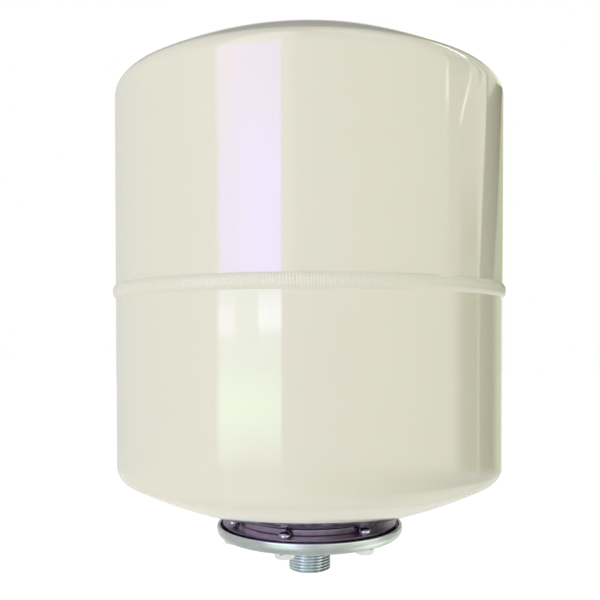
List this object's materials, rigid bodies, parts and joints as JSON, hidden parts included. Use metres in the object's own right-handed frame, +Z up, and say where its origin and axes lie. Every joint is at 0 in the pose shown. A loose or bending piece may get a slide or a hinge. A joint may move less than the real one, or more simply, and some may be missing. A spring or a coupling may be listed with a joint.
{
  "type": "well pressure tank",
  "caption": "Upright cylindrical steel pressure tank with domed ends, a rubber bladder inside, an air valve on top and a flanged male pipe connection underneath.",
  "frame": {"origin": "centre of the water connection's end face, at the tank's lowest point", "axes": "+Z up the tank's axis, from the water connection to the air valve; the camera of the picture is on the -Y side"},
  "size_m": [0.3046, 0.3046, 0.4314],
  "materials": {
    "cream_paint": "glossy cream powder coat",
    "bright_zinc": "zinc plated, lightly brushed",
    "dark_zinc": "dark zinc plate with a violet cast",
    "red_primer": "dark red primer",
    "bladder_rubber": "matt black rubber",
    "brass": "turned brass",
    "cap_plastic": "black plastic"
  },
  "bodies": {
    "root": {"upper_shell": "cream_paint", "lower_shell": "cream_paint", "girth_weld": "cream_paint", "outer_flange": "bright_zinc", "nipple": "bright_zinc", "nipple_weld": "bright_zinc", "valve_washer": "bright_zinc", "flange_bolt_1": "bright_zinc", "flange_bolt_2": "bright_zinc", "flange_bolt_3": "bright_zinc", "flange_bolt_4": "bright_zinc", "flange_bolt_5": "bright_zinc", "flange_bolt_6": "bright_zinc", "flange_nut_1": "bright_zinc", "flange_nut_2": "bright_zinc", "flange_nut_3": "bright_zinc", "flange_nut_4": "bright_zinc", "flange_nut_5": "bright_zinc", "flange_nut_6": "bright_zinc", "counter_flange": "dark_zinc", "neck_weld": "red_primer", "bladder": "bladder_rubber", "valve_gasket": "bladder_rubber", "valve_body": "brass", "valve_nut": "brass", "valve_core": "brass", "valve_pin": "brass", "dust_cap": "cap_plastic"}
  },
  "joints": []
}
